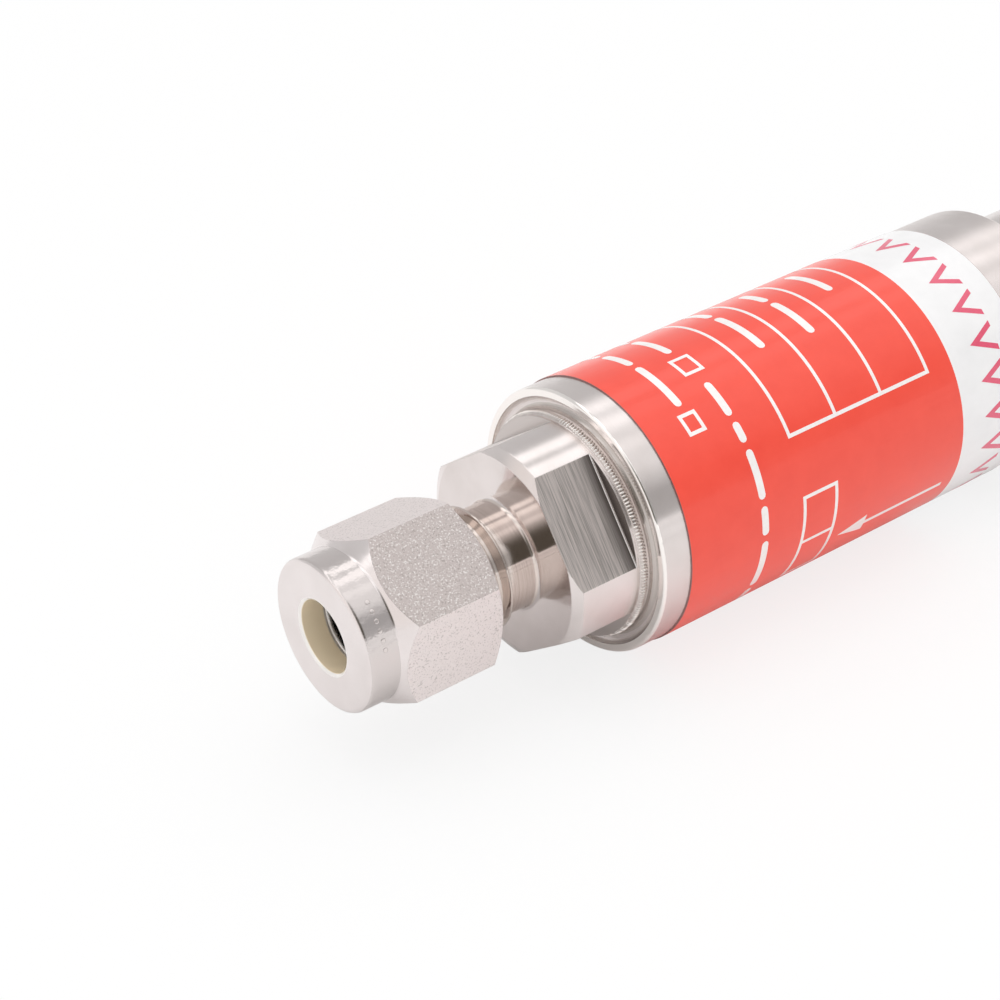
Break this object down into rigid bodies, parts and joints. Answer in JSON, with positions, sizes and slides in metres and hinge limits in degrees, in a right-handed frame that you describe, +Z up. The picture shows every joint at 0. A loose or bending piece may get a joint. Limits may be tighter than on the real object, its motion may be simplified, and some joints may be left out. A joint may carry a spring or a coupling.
{
  "type": "flame arrestor",
  "caption": "Round in-line flame arrestor with a wrapped label, welded flatted connectors and hex tube nuts; a sintered thimble and a sprung non-return valve sit inside.",
  "frame": {"origin": "on the axis, midway between the faces of the two tube nuts", "axes": "+X along the axis towards the inlet, so that gas flows towards -X; +Z up, with the part lying level"},
  "size_m": [0.1026, 0.0246, 0.0246],
  "materials": {
    "turned_steel": "turned, satin to bright",
    "blasted_steel": "bead blasted, with turned face and shoulder",
    "ferrule_steel": "bright turned",
    "spring_wire": "bright drawn",
    "sintered_steel": "porous, matt",
    "seal_rubber": "smooth, semi-matt",
    "gasket_plastic": "smooth",
    "label_film": "gloss printed film, red with a white band at the inlet side"
  },
  "bodies": {
    "housing": {"body_shell": "turned_steel", "label_wrap": "label_film", "outlet_connector": "turned_steel", "outlet_front_ferrule": "ferrule_steel", "outlet_back_ferrule": "ferrule_steel", "outlet_nut": "blasted_steel", "inlet_connector": "turned_steel", "inlet_front_ferrule": "ferrule_steel", "inlet_back_ferrule": "ferrule_steel", "inlet_nut": "blasted_steel", "element_gasket": "gasket_plastic", "flame_element": "sintered_steel", "element_sleeve": "turned_steel", "spring_carrier": "turned_steel", "valve_spring": "spring_wire", "seat_sleeve": "turned_steel", "valve_seat": "turned_steel", "seat_oring": "seal_rubber", "strainer_disc": "sintered_steel", "strainer_clip": "spring_wire"},
    "valve": {"poppet": "turned_steel", "poppet_seal": "seal_rubber"}
  },
  "joints": [
    {"name": "poppet_slide", "type": "slide", "parent": "housing", "child": "valve", "axis": [-1, 0, 0], "range_m": [0, 0.0016], "stiffness_N_per_m": 290, "springref_m": -0.002, "deforming": ["valve_spring"]}
  ]
}
